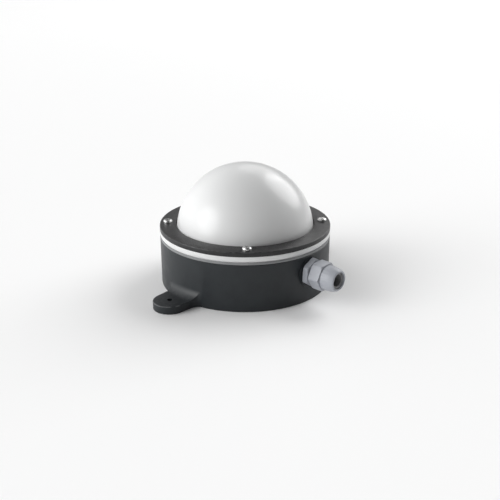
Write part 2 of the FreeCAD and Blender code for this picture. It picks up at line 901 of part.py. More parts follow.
def motor_can():
    """The motor's case with its mounting boss."""
    y = gear_centre_distance
    case = bar(motor_radius, motor_bottom, deck_underside, 0, y)
    case = case.fuse(bar(motor_boss_radius, deck_underside - past, deck_top + motor_boss_proud, 0, y))
    tools = [
        bar(motor_radius - motor_wall, motor_floor_top, motor_cap_bottom, 0, y),
        bar(motor_shaft_radius + motor_bush_wall, motor_cap_bottom - past, deck_top + past, 0, y),
    ]
    screw_hole = fine_screw_size / 2 + tapped_hole_gap
    for screw_x, screw_y in motor_screw_places():
        tools.append(bar(screw_hole, motor_cap_bottom - past, deck_underside + past, screw_x, screw_y))
    return cut_all(case.removeSplitter(), tools)


def motor_bushes():
    """The plain bearings of the motor shaft, in the boss and on the case's floor."""
    y = gear_centre_distance
    inner = motor_shaft_radius + motor_bush_gap
    return [
        tube(motor_shaft_radius + motor_bush_wall, inner, deck_underside, deck_top + motor_boss_proud, 0, y),
        tube(motor_shaft_radius + 2.0, inner, motor_floor_top, motor_floor_top + 1.5, 0, y),
    ]


def motor_stator():
    """The ring of coils."""
    outer = motor_radius - motor_wall
    inner = outer - motor_stator_thickness
    return tube(outer, inner, motor_floor_top + 2, motor_cap_bottom - 2, 0, gear_centre_distance)


def motor_rotor():
    """The magnet on the shaft."""
    outer = motor_radius - motor_wall - motor_stator_thickness - motor_air_gap
    inner = motor_shaft_radius
    return tube(outer, inner, motor_floor_top + 2, motor_cap_bottom - 2, 0, gear_centre_distance)


def motor_shaft():
    """The shaft from the motor's floor to the top of the pinion."""
    return bar(motor_shaft_radius, motor_floor_top + 0.3, gear_top + pinion_overlap, 0, gear_centre_distance)


def motor_screws():
    """The motor's mounting screws."""
    return [pan_screw(fine_screw_size, deck_thickness + motor_cap - 0.3, deck_top, x, y)
            for x, y in motor_screw_places()]


# ---------------------------------------------------------------- turntable and antenna
turntable_screw_circle = 10.0
panel_screw_radius = 1.0
bracket_front = bracket_thickness / 2
bracket_top = panel_top - bracket_below_top
bracket_foot_y = bracket_front - bracket_foot / 2
panel_plate_front = bracket_front + panel_plate_thickness
panel_board_front = panel_plate_front + panel_board_thickness
transceiver_face = -bracket_front - transceiver_gap
transceiver_width = 34.0
transceiver_bottom = panel_bottom + 4.0


def turntable_screw_holes():
    """The holes of the screws that join turntable, spindle flange and gear."""
    return [bar(fine_screw_size / 2 + tapped_hole_gap, gear_bottom + 0.6, turntable_top + past, x, y)
            for x, y in spots(turntable_screw_circle, screw_directions)]


def bracket_screw_places():
    """Two screws through the bracket's foot."""
    return [(offset, bracket_foot_y - 6.0) for offset in (-bracket_width / 2 + 5.0, bracket_width / 2 - 5.0)]


def turntable():
    """The disc that carries the antenna, with a pocket for the index magnet."""
    disc = bar(turntable_radius, spindle_top, turntable_top)
    tools = turntable_screw_holes()
    tools.append(bar(spindle_bore_radius, spindle_top - past, turntable_top + past))
    tools.append(bar(magnet_radius, spindle_top - past, spindle_top + magnet_depth, magnet_distance, 0))
    foot_hole = small_screw_size / 2 + tapped_hole_gap
    for x, y in bracket_screw_places():
        tools.append(bar(foot_hole, spindle_top - past, turntable_top + past, x, y))
    return cut_all(disc, tools)


def turntable_screws():
    """Four screws down into the gear."""
    length = turntable_top - gear_bottom - 1.0
    return [pan_screw(fine_screw_size, length, turntable_top, x, y)
            for x, y in spots(turntable_screw_circle, screw_directions)]


def antenna_bracket():
    """A bent plate: a foot on the turntable and an upright behind the panel."""
    foot_top = turntable_top + bracket_thickness
    foot = block(bracket_width, bracket_foot, turntable_top, foot_top, 0, bracket_foot_y)
    upright = block(bracket_width, bracket_thickness, turntable_top, bracket_top)
    bracket = foot.fuse(upright)
    foot_hole = small_screw_size / 2 + through_hole_gap
    tools = [bar(foot_hole, turntable_top - past, foot_top + past, x, y) for x, y in bracket_screw_places()]
    head_room = fine_screw_size + bracket_head_gap
    tools += [bar(head_room, turntable_top - past, foot_top + 3 * past, x, y)
              for x, y in spots(turntable_screw_circle, screw_directions)]
    panel_hole = panel_screw_radius + tapped_hole_gap
    tools += [lying_bar(panel_hole, x, z, -bracket_front - past, bracket_front + past)
              for x, z in panel_screw_places()]
    return cut_all(bracket.removeSplitter(), tools)


def bracket_screws():
    """The screws of the bracket's foot."""
    length = bracket_thickness + turntable_thickness - 0.2
    seat = turntable_top + bracket_thickness
    return [pan_screw(small_screw_size, length, seat, x, y) for x, y in bracket_screw_places()]


def sheet_across(half_width, bottom, top, back, front):
    """An upright plate across the antenna between two Y planes."""
    return Part.makeBox(2 * half_width, front - back, top - bottom, Vector(-half_width, back, bottom))


def panel_screw_places():
    """The x and z of the screws that hold the panel on the bracket."""
    across = bracket_width / 2 - 4.0
    return [(x, z) for x in (-across, across) for z in (panel_bottom + 6.0, bracket_top - 4.0)]


def lying_bar(radius, x, z, back, front):
    """A round bar along Y."""
    return Part.makeCylinder(radius, front - back, Vector(x, back, z), Vector(0, 1, 0))


def antenna_backplate():
    """The ground plane behind the array."""
    plate = sheet_across(panel_half_width, panel_bottom, panel_top, bracket_front, panel_plate_front)
    hole = panel_screw_radius + through_hole_gap
    return cut_all(plate, [lying_bar(hole, x, z, bracket_front - past, panel_plate_front + past)
                           for x, z in panel_screw_places()])


def antenna_board():
    """The board of the array, on the ground plane."""
    plate = sheet_across(panel_half_width, panel_bottom, panel_top, panel_plate_front, panel_board_front)
    head_hole = 2 * (panel_screw_radius + through_hole_gap)
    return cut_all(plate, [lying_bar(head_hole, x, z, panel_plate_front - past, panel_board_front + past)
                           for x, z in panel_screw_places()])


def antenna_patches():
    """The array's copper patches, clear of the screws."""
    columns = int((2 * panel_half_width - patch_pitch) / patch_pitch)
    rows = int((panel_top - panel_bottom - patch_pitch) / patch_pitch)
    middle = (panel_top + panel_bottom) / 2
    patches = []
    for column in range(columns):
        for row in range(rows):
            x = patch_pitch * (column - (columns - 1) / 2)
            z = middle + patch_pitch * (row - (rows - 1) / 2)
            near_screw = any(math.hypot(x - sx, z - sz) < patch_screw_gap
                             for sx, sz in panel_screw_places())
            if not near_screw:
                low = z - patch_height / 2
                front = panel_board_front + patch_thickness
                patch = sheet_across(patch_width / 2, low, low + patch_height, panel_board_front, front)
                patch.translate(Vector(x, 0, 0))
                patches.append(patch)
    return patches


def panel_screws():
    """Four screws through the ground plane into the bracket, heads in the board's holes."""
    screws = []
    for x, z in panel_screw_places():
        head_top = panel_board_front - through_hole_gap
        head = lying_bar(2 * panel_screw_radius, x, z, panel_plate_front, head_top)
        shank = lying_bar(panel_screw_radius, x, z, -bracket_front, panel_plate_front)
        screws.append(head.fuse(shank).removeSplitter())
    return screws


def transceiver_board():
    """The board behind the bracket."""
    return sheet_across(transceiver_width / 2 - 2, transceiver_bottom, bracket_top,
                        transceiver_face - panel_board_thickness, transceiver_face)


def transceiver_spacers():
    """Four spacers between bracket and board."""
    across = transceiver_width / 2 - 5.0
    return [lying_bar(1.8, x, z, transceiver_face, -bracket_front)
            for x in (-across, across) for z in (transceiver_bottom + 3, bracket_top - 3)]


def transceiver_shield():
    """A tin-plated can over the circuits."""
    back = transceiver_face - panel_board_thickness - shield_depth
    front = transceiver_face - panel_board_thickness
    bottom = transceiver_bottom + 3
    top = bracket_top - 3
    half = transceiver_width / 2 - shield_inset
    shell = sheet_across(half, bottom, top, back, front)
    inside = sheet_across(half - shield_wall, bottom + shield_wall, top - shield_wall,
                          back + shield_wall, front + past)
    return shell.cut(inside)


def index_magnet():
    """The magnet that marks the start of a turn."""
    return bar(magnet_radius, spindle_top, spindle_top + magnet_depth, magnet_distance, 0)


def index_sensor():
    """The post on the deck that the magnet passes over."""
    post = block(sensor_post, sensor_post, deck_top, spindle_top - magnet_air_gap, magnet_distance, 0)
    foot_top = deck_top + sensor_foot_height
    foot = block(sensor_foot_width, sensor_foot_length, deck_top, foot_top, magnet_distance, 0)
    return post.fuse(foot).removeSplitter()


# ---------------------------------------------------------------- every node
nodes = {
    "base_housing": base_housing(),
    "base_gasket": base_gasket(),
    "dome": dome(),
    "clamp_ring": clamp_ring(),
    "clamp_screws": clamp_screws(),
    "gland_body": gland_body(),
    "gland_washer": gland_washer(),
    "gland_locknut": gland_locknut(),
    "gland_nut": gland_nut(),
    "gland_seal": gland_seal(),
    "main_board": main_board(),
    "board_standoffs": board_standoffs(),
    "board_screws": board_screws(),
    "terminal_block": terminal_block(),
    "terminal_screws": terminal_screws(),
    "processor_chip": processor_chip(),
    "power_capacitors": power_capacitors(),
    "power_inductor": power_inductor(),
    "deck": deck(),
    "deck_pillars": deck_pillars(),
    "deck_screws": deck_screws(),
    "bearing_housing": bearing_housing(),
    "housing_screws": housing_screws(),
    "spindle": spindle(),
    "spindle_clip": spindle_clip(),
    "slip_ring": slip_ring(),
    "slip_ring_tracks": slip_ring_tracks(),
    "brush_block": brush_block(),
    "slip_ring_brushes": slip_ring_brushes(),
    "driven_gear": driven_gear(),
    "pinion": pinion(),
    "motor_can": motor_can(),
    "motor_bushes": motor_bushes(),
    "motor_stator": motor_stator(),
    "motor_rotor": motor_rotor(),
    "motor_shaft": motor_shaft(),
    "motor_screws": motor_screws(),
    "turntable": turntable(),
    "turntable_screws": turntable_screws(),
    "antenna_bracket": antenna_bracket(),
    "bracket_screws": bracket_screws(),
    "antenna_backplate": antenna_backplate(),
    "antenna_board": antenna_board(),
    "antenna_patches": antenna_patches(),
    "panel_screws": panel_screws(),
    "transceiver_board": transceiver_board(),
    "transceiver_spacers": transceiver_spacers(),
    "transceiver_shield": transceiver_shield(),
    "index_magnet": index_magnet(),
    "index_sensor": index_sensor(),
}
for level, bottom in (("lower", lower_bearing_bottom), ("upper", upper_bearing_bottom)):
    nodes[level + "_bearing_outer_race"] = outer_race(bottom)
    nodes[level + "_bearing_inner_race"] = inner_race(bottom)
    nodes[level + "_bearing_balls"] = balls(bottom)

os.makedirs("parts", exist_ok=True)
for name, shape in nodes.items():
    if isinstance(shape, list):
        shape = Part.makeCompound(shape)
    shape.exportStep("parts/" + name + ".step")
print("nodes", len(nodes), "driven teeth", driven_teeth, "centre distance", gear_centre_distance)
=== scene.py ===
import math

import bmesh
import bpy
from mathutils import Euler, Matrix, Vector


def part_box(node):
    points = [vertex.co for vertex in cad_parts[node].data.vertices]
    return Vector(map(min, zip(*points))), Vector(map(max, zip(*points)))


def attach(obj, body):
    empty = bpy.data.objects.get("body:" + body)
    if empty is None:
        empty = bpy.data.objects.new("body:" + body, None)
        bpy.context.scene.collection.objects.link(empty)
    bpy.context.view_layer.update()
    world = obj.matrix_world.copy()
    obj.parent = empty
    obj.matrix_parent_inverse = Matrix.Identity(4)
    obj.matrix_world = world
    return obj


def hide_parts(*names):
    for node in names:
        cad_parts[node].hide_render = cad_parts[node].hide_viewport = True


bpy.ops.wm.read_factory_settings(use_empty=True)
scene = bpy.context.scene
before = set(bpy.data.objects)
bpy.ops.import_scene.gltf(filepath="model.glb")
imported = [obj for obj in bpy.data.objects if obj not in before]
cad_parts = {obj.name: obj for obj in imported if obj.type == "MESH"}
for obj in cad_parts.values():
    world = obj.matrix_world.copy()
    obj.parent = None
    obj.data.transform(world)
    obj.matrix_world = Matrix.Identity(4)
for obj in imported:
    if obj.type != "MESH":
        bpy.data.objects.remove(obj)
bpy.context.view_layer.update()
mm = 0.001

# ------------------------------------------------------------------ camera
# The camera stands between the ear on -X and the cable gland on -Y, looking a little down on the dome.
# It is placed round the foot of the body's axis by heading, height angle and distance, and then tilted.
camera_heading = math.radians(-46.2)
camera_elevation = math.radians(23.45)
camera_distance = 0.675
camera_lift = 1.5 * mm
camera_tilt_down = math.radians(21.58)
camera_turn = math.radians(0.40)
camera_lens = 53.4
camera_film = 36.0


def direction(heading, elevation):
    """The direction from the object at a heading in plan and a height angle, both in radians."""
    flat = math.cos(elevation)
    return Vector((math.sin(heading) * flat, -math.cos(heading) * flat, math.sin(elevation)))


camera_data = bpy.data.cameras.new("camera")
camera_data.lens = camera_lens
camera_data.sensor_width = camera_film
camera = bpy.data.objects.new("camera", camera_data)
camera.location = direction(camera_heading, camera_elevation) * camera_distance
camera.location.z += camera_lift
camera.rotation_euler = Euler((math.pi / 2 - camera_tilt_down, 0, camera_heading - camera_turn))
scene.collection.objects.link(camera)
scene.camera = camera

# ------------------------------------------------------------------ floor
# A sheet of white paper under the object, wide enough to run out of view on every side.
floor_half_width = 30.0
floor_white = (0.93, 0.93, 0.93, 1)
floor_roughness = 0.9
floor_mesh = bpy.data.meshes.new("floor")
bm = bmesh.new()
bmesh.ops.create_grid(bm, x_segments=1, y_segments=1, size=floor_half_width)
bm.to_mesh(floor_mesh)
bm.free()
floor = bpy.data.objects.new("floor", floor_mesh)
floor_material = bpy.data.materials.new("floor_paper")
floor_material.use_nodes = True
floor_shader = floor_material.node_tree.nodes["Principled BSDF"]
floor_shader.inputs["Base Color"].default_value = floor_white
floor_shader.inputs["Roughness"].default_value = floor_roughness
floor_mesh.materials.append(floor_material)
scene.collection.objects.link(floor)

# ------------------------------------------------------------------ studio light
# Broad pale screens on the left, behind the left and on the right, and large soft boxes well above them.
# The front stays dark, so the dome shades off towards the gland; behind the object the room is white.
screen_rise = math.radians(15)
screen_falloff = 3.0
screens = ((-106, 0.9), (-156, 1.8), (74, 0.5))
room_glow = 0.04
backdrop_level = 1.0
lamp_distance = 12


def put(tree, kind, inputs=None, **settings):
    """Adds a shader node with its settings, then its input values or links."""
    node = tree.nodes.new("ShaderNode" + kind)
    for key, value in settings.items():
        setattr(node, key, value)
    for key, value in (inputs or {}).items():
        if isinstance(value, bpy.types.NodeSocket):
            tree.links.new(value, node.inputs[key])
        else:
            node.inputs[key].default_value = value
    return node


world = bpy.data.worlds.new("surround")
world.use_nodes = True
room = world.node_tree
towards = put(room, "TexCoord").outputs["Generated"]
glow = room_glow
for heading, level in screens:
    middle = direction(math.radians(heading), screen_rise)
    facing = put(room, "VectorMath", {0: towards, 1: middle}, operation="DOT_PRODUCT").outputs["Value"]
    facing = put(room, "Math", {0: facing, 1: 0.0}, operation="MAXIMUM").outputs[0]
    screen = put(room, "Math", {0: facing, 1: screen_falloff}, operation="POWER").outputs[0]
    glow = put(room, "Math", {0: screen, 1: level, 2: glow}, operation="MULTIPLY_ADD").outputs[0]
seen = put(room, "LightPath").outputs["Is Camera Ray"]
shown = put(room, "MapRange", {"Value": seen, "To Min": glow, "To Max": backdrop_level}).outputs["Result"]
room.nodes["Background"].inputs["Color"].default_value = (1, 1, 1, 1)
room.links.new(shown, room.nodes["Background"].inputs["Strength"])
scene.world = world

for name, heading, elevation, size, power in (
    ("left_box", -116, 20, 8.7, 700),
    ("right_box", 82, 34, 9.8, 900),
    ("back_box", 118, 35, 7.6, 190),
):
    light = bpy.data.lights.new(name, "AREA")
    light.shape = "DISK"
    light.size = size
    light.energy = power
    lamp = bpy.data.objects.new(name, light)
    lamp.location = direction(math.radians(heading), math.radians(elevation)) * lamp_distance
    lamp.rotation_euler = (-lamp.location).to_track_quat("-Z", "Y").to_euler()
    scene.collection.objects.link(lamp)
scene.view_settings.view_transform = "Standard"

# ------------------------------------------------------------------ base housing
# One aluminium casting: a round box open at the top, with two ears for its mounting screws.
# Powder coated black all over, a fine satin grain, with the coat a little thin on the cast edges, whose
# lighter colour is also a painted highlight.
body_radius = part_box("base_gasket")[1].x
ear_top = 7.0 * mm
ear_hole_distance = body_radius + 15.0 * mm
ear_hole_reach = 3.0 * mm
casting_edge = 0.6 * mm
weld = 0.002 * mm
flat_angle = math.radians(0.5)
sharp_angle = math.radians(30)
shading_angle = math.radians(32)
coat_black = (0.011, 0.014, 0.017)
coat_black_light = (0.016, 0.020, 0.023)
# Lighter colour of the cast edges: partly thinned coat, partly a painted highlight.
coat_worn_and_lit_edge = (0.20, 0.205, 0.21)
mottle_share = 0.045
wear_and_highlight_patches = 260.0
dust_specks = 420.0
dust_colour = (0.42, 0.40, 0.37, 1)


def make_group(name, inputs, outputs):
    """An empty shader node group with its sockets, and its input and output nodes."""
    group = bpy.data.node_groups.new(name, "ShaderNodeTree")
    for socket_name, kind, value in inputs:
        socket = group.interface.new_socket(socket_name, in_out="INPUT", socket_type=kind)
        if value is not None:
            socket.default_value = value
    for socket_name in outputs:
        group.interface.new_socket(socket_name, in_out="OUTPUT", socket_type="NodeSocketFloat")
    return group, group.nodes.new("NodeGroupInput").outputs, group.nodes.new("NodeGroupOutput").inputs


def make_grain():
    """Surface grain: a fine height and a broad, soft mottle."""
    sockets = [("Vector", "NodeSocketVector", None), ("Scale", "NodeSocketFloat", 1500.0)]
    group, given, result = make_group("surface_grain", sockets, ["Height", "Mottle"])
    fine = put(group, "TexNoise", {"Vector": given["Vector"], "Scale": given["Scale"], "Detail": 3.0})
    broad_scale = put(group, "Math", {0: given["Scale"], 1: mottle_share}, operation="MULTIPLY").outputs[0]
    broad = put(group, "TexNoise", {"Vector": given["Vector"], "Scale": broad_scale, "Detail": 5.0})
    spread = put(group, "MapRange", {"Value": broad.outputs["Fac"], "From Min": 0.32, "From Max": 0.68})
    group.links.new(fine.outputs["Fac"], result["Height"])
    group.links.new(spread.outputs["Result"], result["Mottle"])
    return group


def make_edge_wear_and_highlight():
    """Patches along the rounded edges where handling has thinned the finish, which also serve as a painted
    edge highlight.
    """
    sockets = [("Vector", "NodeSocketVector", None), ("Amount", "NodeSocketFloat", 0.5)]
    group, given, result = make_group("edge_wear_and_highlight", sockets, ["Mask"])
    edge = put(group, "Attribute", attribute_name="edge").outputs["Fac"]
    patch = put(group, "TexNoise", {"Vector": given["Vector"], "Scale": wear_and_highlight_patches, "Detail": 6.0})
    spread = put(group, "MapRange", {"Value": patch.outputs["Fac"], "From Min": 0.42, "From Max": 0.66})
    worn_and_lit = put(group, "Math", {0: edge, 1: spread.outputs["Result"]}, operation="MULTIPLY").outputs[0]
    mask = put(group, "Math", {0: worn_and_lit, 1: given["Amount"]}, operation="MULTIPLY").outputs[0]
    group.links.new(mask, result["Mask"])
    return group


def make_dust():
    """A thin film of dust on what faces up."""
    sockets = [("Vector", "NodeSocketVector", None), ("Amount", "NodeSocketFloat", 0.1)]
    group, given, result = make_group("settled_dust", sockets, ["Mask"])
    normal = put(group, "NewGeometry").outputs["Normal"]
    up = put(group, "SeparateXYZ", {"Vector": normal}).outputs["Z"]
    facing = put(group, "MapRange", {"Value": up, "From Min": 0.5, "From Max": 1.0}).outputs["Result"]
    speck = put(group, "TexNoise", {"Vector": given["Vector"], "Scale": dust_specks, "Detail": 8.0,
                                    "Roughness": 0.7})
    spread = put(group, "MapRange", {"Value": speck.outputs["Fac"], "From Min": 0.45, "From Max": 0.75})
    lying = put(group, "Math", {0: facing, 1: spread.outputs["Result"]}, operation="MULTIPLY").outputs[0]
    mask = put(group, "Math", {0: lying, 1: given["Amount"]}, operation="MULTIPLY").outputs[0]
    group.links.new(mask, result["Mask"])
    return group


def make_turning_marks():
    """Lathe marks round Z: fine rings on a face, fine grooves on a side."""
    sockets = [("Vector", "NodeSocketVector", None), ("Pitch", "NodeSocketFloat", 0.0004)]
    group, given, result = make_group("turning_marks", sockets, ["Height"])
    flat = put(group, "VectorMath", {0: given["Vector"], 1: (1, 1, 0)}, operation="MULTIPLY")
    radius = put(group, "VectorMath", {0: flat.outputs["Vector"]}, operation="LENGTH").outputs["Value"]
    height = put(group, "SeparateXYZ", {"Vector": given["Vector"]}).outputs["Z"]
    travel = put(group, "Math", {0: radius, 1: height}, operation="ADD").outputs[0]
    turns = put(group, "Math", {0: travel, 1: given["Pitch"]}, operation="DIVIDE").outputs[0]
    phase = put(group, "Math", {0: turns, 1: 2 * math.pi}, operation="MULTIPLY").outputs[0]
    ridge = put(group, "Math", {0: phase}, operation="SINE").outputs[0]
    group.links.new(ridge, result["Height"])
    return group


grain_group = make_grain()
wear_and_highlight_group = make_edge_wear_and_highlight()
dust_group = make_dust()
turning_group = make_turning_marks()


def use_group(tree, group, inputs):
    """Places a shared group in a material and gives its outputs."""
    return put(tree, "Group", inputs, node_tree=group).outputs


def mix_colours(tree, share, first, second):
    """A colour between two colours, each a value or a socket."""
    node = put(tree, "Mix", data_type="RGBA")
    for socket, value in ((node.inputs[0], share), (node.inputs[6], first), (node.inputs[7], second)):
        if isinstance(value, bpy.types.NodeSocket):
            tree.links.new(value, socket)
        else:
            socket.default_value = value
    return node.outputs[2]


def finish(name, colours, roughness, grain=1500.0, relief=0.01 * mm, metallic=0.0, worn_and_lit=None, wear_and_highlight=0.0,
           dust=0.0, turning=None, centre=(0, 0, 0), coat=0.0, coat_roughness=0.1, pattern=None,
           specular=0.5):
    """A material from two mottled colours, a grain, and the rubbed edges with painted edge highlight, dust
    and tool marks of its own piece.
    """
    material = bpy.data.materials.new(name)
    material.use_nodes = True
    tree = material.node_tree
    shader = tree.nodes["Principled BSDF"]
    place = put(tree, "TexCoord").outputs["Object"]
    vector = put(tree, "Mapping", {"Vector": place, "Location": centre}).outputs["Vector"]
    surface = use_group(tree, grain_group, {"Vector": vector, "Scale": grain})
    colour = mix_colours(tree, surface["Mottle"], (*colours[0], 1), (*colours[1], 1))
    height = surface["Height"]
    if pattern:
        colour = pattern(tree, vector, colour)
    # Lighter edge colour: rubbed finish, and on the casting also a painted highlight.
    if worn_and_lit:
        mask = use_group(tree, wear_and_highlight_group, {"Vector": vector, "Amount": wear_and_highlight})["Mask"]
        colour = mix_colours(tree, mask, colour, (*worn_and_lit, 1))
    if dust:
        mask = use_group(tree, dust_group, {"Vector": vector, "Amount": dust})["Mask"]
        colour = mix_colours(tree, mask, colour, dust_colour)
    if turning:
        ridge = use_group(tree, turning_group, {"Vector": vector, "Pitch": turning})["Height"]
        height = put(tree, "Math", {0: ridge, 1: 0.5, 2: height}, operation="MULTIPLY_ADD").outputs[0]
    matt = put(tree, "MapRange", {"Value": surface["Mottle"], "To Min": roughness[0], "To Max": roughness[1]})
    bump = put(tree, "Bump", {"Height": height, "Strength": 1.0, "Distance": relief})
    tree.links.new(colour, shader.inputs["Base Color"])
    tree.links.new(matt.outputs["Result"], shader.inputs["Roughness"])
    tree.links.new(bump.outputs["Normal"], shader.inputs["Normal"])
    shader.inputs["Metallic"].default_value = metallic
    shader.inputs["Coat Weight"].default_value = coat
    shader.inputs["Coat Roughness"].default_value = coat_roughness
    shader.inputs["Specular IOR Level"].default_value = specular
    return material


def soften(bm, width, wanted=None, segments=3):
    """Rounds the sharp edges, or those that are wanted, and marks the new faces as edge faces."""
    layer = bm.faces.layers.float.get("edge") or bm.faces.layers.float.new("edge")
    sharp = [edge for edge in bm.edges
             if len(edge.link_faces) == 2 and edge.calc_face_angle() > sharp_angle
             and (wanted is None or wanted(edge))]
    made = bmesh.ops.bevel(bm, geom=sharp, offset=width, offset_type="OFFSET", segments=segments,
                           profile=0.5, affect="EDGES", material=-1, clamp_overlap=False)
    for face in made["faces"]:
        face[layer] = 1.0


def make_piece(bm, name, material, node, body="base"):
    """Turns a mesh into the finished piece that stands for a CAD node and rides on its body."""
    mesh = bpy.data.meshes.new(name)
    bm.to_mesh(mesh)
    bm.free()
    if "custom_normal" in mesh.attributes:
        mesh.attributes.remove(mesh.attributes["custom_normal"])
    mesh.shade_smooth()
    mesh.set_sharp_from_angle(angle=shading_angle)
    mesh.materials.append(material)
    piece = bpy.data.objects.new(name, mesh)
    scene.collection.objects.link(piece)
    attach(piece, body)
    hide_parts(node)


def on_casting_edge(edge):
    """Whether an edge runs round the outside of the ears or the foot of the wall."""
    near = 0.01 * mm
    low, high = sorted(vertex.co.z for vertex in edge.verts)
    level = abs(high - low) < near and (abs(high) < near or abs(high - ear_top) < near)
    distances = [math.hypot(vertex.co.x, vertex.co.y) for vertex in edge.verts]
    outside = min(distances) > body_radius - 20 * near
    in_hole = all(math.hypot(abs(vertex.co.x) - ear_hole_distance, vertex.co.y) < ear_hole_reach
                  for vertex in edge.verts)
    at_wall = high > ear_top / 2 and max(distances) < body_radius + 2 * near
    return level and outside and not in_hole and not at_wall


bm = bmesh.new()
bm.from_mesh(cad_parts["base_housing"].data)
bmesh.ops.remove_doubles(bm, verts=bm.verts, dist=weld)
bmesh.ops.dissolve_limit(bm, angle_limit=flat_angle, use_dissolve_boundaries=False,
                         verts=bm.verts, edges=bm.edges)
soften(bm, casting_edge, on_casting_edge)
# The casting's lighter edges are partly thinned coat and partly a painted highlight.
powder_coat = finish("black_powder_coat", (coat_black, coat_black_light), (0.40, 0.50), grain=2200.0,
                     relief=0.035 * mm, worn_and_lit=coat_worn_and_lit_edge, wear_and_highlight=0.6, dust=0.08, specular=0.4)
make_piece(bm, "cast_base", powder_coat, "base_housing")

# ------------------------------------------------------------------ main board
# A round green circuit board on brass standoffs, with its terminal block, processor and power parts.
# Laminate under solder mask with plated pads, tinned and screwed to the floor of the casting.
solder_mask = (0.012, 0.105, 0.045)
solder_mask_light = (0.020, 0.150, 0.066)
pad_gold = (0.62, 0.46, 0.16)
pad_pitch = 2.54 * mm
pad_share = 0.22
trace_cells = 260.0


def copper_traces(tree, vector, colour):
    """Lighter lines where traces run under the mask, and rows of plated pads."""
    squares = put(tree, "TexVoronoi", {"Vector": vector, "Scale": trace_cells}, feature="F1",
                  distance="CHEBYCHEV").outputs["Distance"]
    trace = put(tree, "MapRange", {"Value": squares, "From Min": 0.40, "From Max": 0.46}).outputs["Result"]
    lit = mix_colours(tree, trace, colour, (*solder_mask_light, 1))
    cell = put(tree, "VectorMath", {0: vector, 1: (1 / pad_pitch, 1 / pad_pitch, 0)}, operation="MULTIPLY")
    inside = put(tree, "VectorMath", {0: cell.outputs["Vector"]}, operation="FRACTION").outputs["Vector"]
    middle = put(tree, "VectorMath", {0: inside, 1: (0.5, 0.5, 0)}, operation="DISTANCE").outputs["Value"]
    pad = put(tree, "Math", {0: middle, 1: pad_share}, operation="LESS_THAN").outputs[0]
    patch = put(tree, "TexNoise", {"Vector": vector, "Scale": 70.0}).outputs["Fac"]
    used = put(tree, "Math", {0: patch, 1: 0.56}, operation="GREATER_THAN").outputs[0]
    shown = put(tree, "Math", {0: pad, 1: used}, operation="MULTIPLY").outputs[0]
    return mix_colours(tree, shown, lit, (*pad_gold, 1))


def dress(material, *names):
    """Gives CAD nodes that stay as they are their material."""
    for name in names:
        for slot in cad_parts[name].material_slots:
            slot.material = material


green_board = finish("green_solder_mask", (solder_mask, solder_mask_light), (0.30, 0.42), grain=5000.0,
                     relief=0.004 * mm, pattern=copper_traces, coat=0.4)
turned_brass = finish("turned_brass", ((0.62, 0.43, 0.16), (0.70, 0.50, 0.21)), (0.24, 0.36),
                      relief=0.006 * mm, metallic=1.0, turning=0.3 * mm)
zinc_plate = finish("zinc_plated_steel", ((0.52, 0.54, 0.57), (0.64, 0.65, 0.66)), (0.26, 0.40),
                    grain=2600.0, relief=0.005 * mm, metallic=1.0)
green_nylon = finish("green_moulded_nylon", ((0.015, 0.21, 0.06), (0.02, 0.26, 0.08)), (0.38, 0.5),
                     grain=2600.0, relief=0.015 * mm, dust=0.08)
black_moulding = finish("black_epoxy_moulding", ((0.014, 0.014, 0.015), (0.022, 0.022, 0.024)), (0.5, 0.62),
                        grain=4200.0, relief=0.012 * mm, dust=0.06)
capacitor_can = finish("drawn_aluminium_can", ((0.66, 0.67, 0.69), (0.76, 0.77, 0.78)), (0.22, 0.32),
                       relief=0.004 * mm, metallic=1.0, grain=900.0)
ferrite = finish("sintered_ferrite", ((0.050, 0.050, 0.054), (0.085, 0.085, 0.090)), (0.55, 0.7),
                 grain=3600.0, relief=0.03 * mm)
dress(green_board, "main_board", "transceiver_board")
dress(turned_brass, "board_standoffs", "transceiver_spacers")
dress(zinc_plate, "board_screws", "terminal_screws")
dress(green_nylon, "terminal_block")
dress(black_moulding, "processor_chip")
dress(capacitor_can, "power_capacitors")
dress(ferrite, "power_inductor")

# ------------------------------------------------------------------ deck
# A milled aluminium plate on four pillars, which carries the bearings, the motor and the index sensor.
# Left bare, with the fine arcs that the milling cutter leaves.
milled_light = (0.74, 0.75, 0.77)
milled_dark = (0.60, 0.61, 0.63)
cutter_pitch = 0.8 * mm
cutter_place = (0.09, 0.02, 0)


def milling_arcs(tree, vector, colour):
    """The faint arcs that a face cutter leaves."""
    shifted = put(tree, "VectorMath", {0: vector, 1: cutter_place}, operation="ADD").outputs["Vector"]
    reach = put(tree, "VectorMath", {0: shifted}, operation="LENGTH").outputs["Value"]
    turns = put(tree, "Math", {0: reach, 1: 2 * math.pi / cutter_pitch}, operation="MULTIPLY").outputs[0]
    arc = put(tree, "Math", {0: turns}, operation="SINE").outputs[0]
    share = put(tree, "MapRange", {"Value": arc, "From Min": -1.0, "To Max": 0.3}).outputs["Result"]
    return mix_colours(tree, share, colour, (*milled_dark, 1))


milled_aluminium = finish("milled_aluminium", (milled_light, milled_dark), (0.28, 0.40), grain=1800.0,
                          relief=0.006 * mm, metallic=1.0, pattern=milling_arcs)
dress(milled_aluminium, "deck", "antenna_bracket", "antenna_backplate")
dress(turned_brass, "deck_pillars")
dress(zinc_plate, "deck_screws")
dress(black_moulding, "index_sensor")

